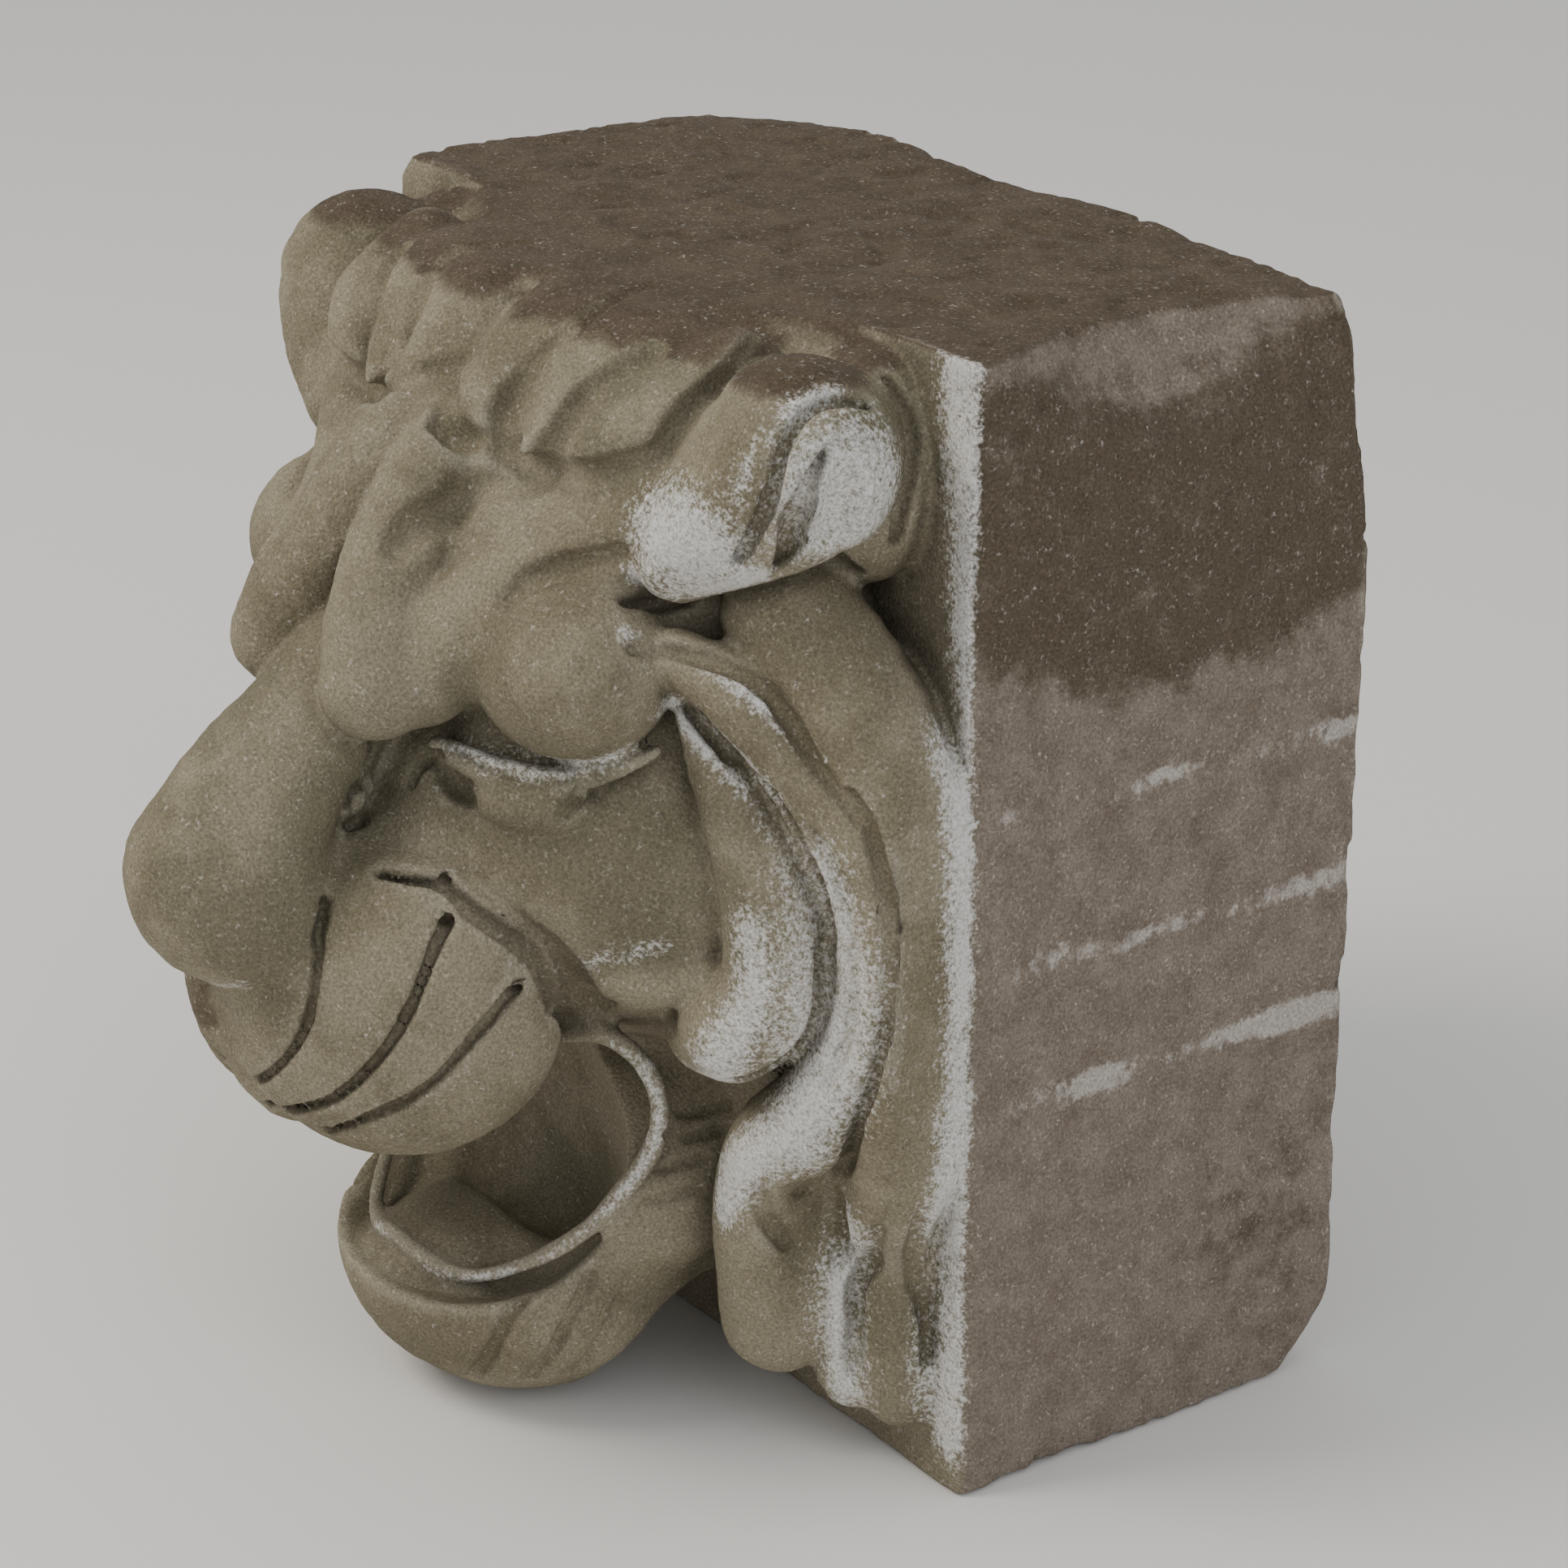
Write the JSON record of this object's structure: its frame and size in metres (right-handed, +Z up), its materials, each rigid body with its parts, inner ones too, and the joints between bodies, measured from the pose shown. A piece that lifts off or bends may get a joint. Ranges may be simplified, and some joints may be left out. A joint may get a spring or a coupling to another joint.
{
  "type": "stone corbel",
  "caption": "Sandstone corbel carved as a roaring lion's head with brow rolls, whisker pads, open jaws, ears and long mane locks, on a square block that is built into the wall",
  "frame": {"origin": "middle of the flat back bed of the block, where the stone beds against the wall behind it", "axes": "+Z up, -Y out of the wall towards the tip of the nose, +X the lion's left, the near side in the picture"},
  "size_m": [0.526, 0.5653, 0.6],
  "materials": {
    "sandstone": "weathered buff to grey-green fine-grained sandstone, tooled and lime-stained, matt"
  },
  "bodies": {
    "root": {"lion_head_corbel": "sandstone"}
  },
  "joints": []
}
